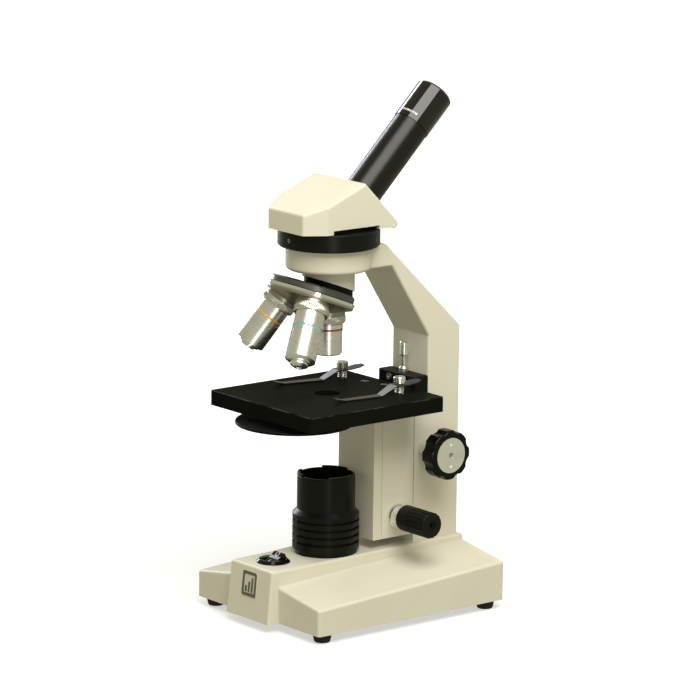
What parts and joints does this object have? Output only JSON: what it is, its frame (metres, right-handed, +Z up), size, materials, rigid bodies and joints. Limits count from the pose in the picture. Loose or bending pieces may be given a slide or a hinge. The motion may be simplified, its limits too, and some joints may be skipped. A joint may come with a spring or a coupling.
{
  "type": "monocular microscope",
  "caption": "Upright monocular student microscope: slanted eyepiece tube, objective turret, square stage, side focus knobs and a lamp in its splayed foot.",
  "frame": {"origin": "centre of the base's footprint, on the surface the feet stand on", "axes": "+Z up along the column, -Y towards the front where the lamp and switch are, +X to the right seen from the front-right"},
  "size_m": [0.1332, 0.1729, 0.3584],
  "materials": {
    "cream_enamel": "semi-gloss cream enamel",
    "black_satin": "satin black paint on metal",
    "black_gloss": "glossy black plastic",
    "black_matte": "matt black anodising",
    "chrome": "bright nickel or chrome plate",
    "steel": "ground steel",
    "aluminium": "satin turned aluminium",
    "brass": "machined brass",
    "zinc": "zinc-plated sheet and screws",
    "rubber": "matt black rubber",
    "glass": "polished optical glass",
    "ceramic": "white glazed ceramic",
    "wire": "flexible red insulation",
    "black_plastic": "fine textured black plastic",
    "badge": "grey printed aluminium"
  },
  "bodies": {
    "stand": {"base_shell": "cream_enamel", "base_plate": "zinc", "rubber_feet": "rubber", "base_screws": "zinc", "arm_bolts": "zinc", "badge": "badge", "power_inlet": "black_plastic", "base_wiring": "wire", "lamp_housing": "black_satin", "lamp_socket": "ceramic", "lamp_bulb": "glass", "switch_bezel": "black_gloss", "arm": "cream_enamel", "head_ring": "black_satin", "head_ring_screws": "steel", "turret_base": "black_satin", "turret_pivot": "steel", "coarse_bushes": "chrome"},
    "lamp_cap": {"lamp_tube": "black_satin", "lamp_lens": "glass"},
    "switch": {"switch_rocker": "black_gloss"},
    "coarse_slide_body": {"coarse_carriage": "cream_enamel", "coarse_slide": "steel", "rack": "brass", "fine_collars": "chrome"},
    "coarse_drive": {"coarse_shaft": "steel", "coarse_knobs": "black_gloss", "coarse_knob_discs": "aluminium", "coarse_knob_screws": "steel"},
    "fine_slide_body": {"fine_carriage": "cream_enamel", "cam_follower": "steel", "stage_bracket": "black_satin", "stage": "black_matte", "stage_screws": "steel", "stop_nut": "steel", "clip_posts": "chrome", "clip_springs": "steel", "disc_pivot": "steel"},
    "fine_drive": {"fine_shaft": "steel", "fine_cam": "brass", "fine_knobs": "black_plastic", "fine_knob_screws": "steel"},
    "safety_stop": {"stop_screw": "chrome"},
    "left_clip": {"left_clip": "steel"},
    "right_clip": {"right_clip": "steel"},
    "diaphragm": {"aperture_disc": "black_satin"},
    "turret": {"turret_plate": "chrome", "turret_ring": "black_satin", "low_objective": "chrome", "middle_objective": "chrome", "high_objective": "chrome", "objective_lenses": "glass"},
    "sprung_nose": {"high_nose": "chrome"},
    "head": {"head_shell": "cream_enamel", "head_mount": "black_satin", "prism": "glass", "draw_tube": "black_satin"},
    "eyepiece": {"eyepiece_cap": "black_gloss", "eyepiece_barrel": "black_satin", "eyepiece_lenses": "glass"}
  },
  "joints": [
    {"name": "coarse_focus", "type": "slide", "parent": "stand", "child": "coarse_slide_body", "axis": [0, 0, 1], "range_m": [-0.004, 0.008]},
    {"name": "coarse_knob_turn", "type": "hinge", "parent": "stand", "child": "coarse_drive", "pos_m": [0, 0.0524, 0.1082], "axis": [1, 0, 0], "range_deg": [-115, 58]},
    {"name": "fine_focus", "type": "slide", "parent": "coarse_slide_body", "child": "fine_slide_body", "axis": [0, 0, 1], "range_m": [-0.0007, 0.0007]},
    {"name": "fine_knob_turn", "type": "hinge", "parent": "coarse_slide_body", "child": "fine_drive", "pos_m": [0, 0.0282, 0.0645], "axis": [1, 0, 0], "range_deg": [-160, 160]},
    {"name": "stop_adjust", "type": "slide", "parent": "fine_slide_body", "child": "safety_stop", "axis": [0, 0, 1], "range_m": [-0.005, 0]},
    {"name": "left_clip_swing", "type": "hinge", "parent": "fine_slide_body", "child": "left_clip", "pos_m": [-0.0307, 0.0197, 0.157], "axis": [0, 0, 1], "range_deg": [-30, 30]},
    {"name": "right_clip_swing", "type": "hinge", "parent": "fine_slide_body", "child": "right_clip", "pos_m": [0.0307, 0.0197, 0.157], "axis": [0, 0, 1], "range_deg": [-24, 30]},
    {"name": "diaphragm_turn", "type": "hinge", "parent": "fine_slide_body", "child": "diaphragm", "pos_m": [0, -0.0462, 0.1365], "axis": [0, 0, 1], "continuous": true},
    {"name": "turret_turn", "type": "hinge", "parent": "stand", "child": "turret", "pos_m": [0, -0.0182, 0.261], "axis": [0, -0.3584, -0.9336], "continuous": true},
    {"name": "nose_retract", "type": "slide", "parent": "turret", "child": "sprung_nose", "axis": [-0.3104, 0.5018, 0.8074], "range_m": [0, 0.0025], "stiffness_N_per_m": 400, "springref_m": -0.003},
    {"name": "head_turn", "type": "hinge", "parent": "stand", "child": "head", "pos_m": [0, -0.0182, 0.261], "axis": [0, 0, 1], "continuous": true},
    {"name": "eyepiece_lift", "type": "slide", "parent": "head", "child": "eyepiece", "axis": [0, 0.7071, 0.7071], "range_m": [0, 0.028]},
    {"name": "lamp_cap_lift", "type": "slide", "parent": "stand", "child": "lamp_cap", "axis": [0, 0, 1], "range_m": [0, 0.016]},
    {"name": "lamp_switch", "type": "hinge", "parent": "stand", "child": "switch", "pos_m": [0, -0.0634, 0.0414], "axis": [-1, 0, 0], "range_deg": [0, 16]}
  ],
  "couplings": [
    {"joint": "coarse_knob_turn", "follows": "coarse_focus", "rad_per_m": -250},
    {"joint": "fine_knob_turn", "follows": "fine_focus", "rad_per_m": -3989.3}
  ]
}
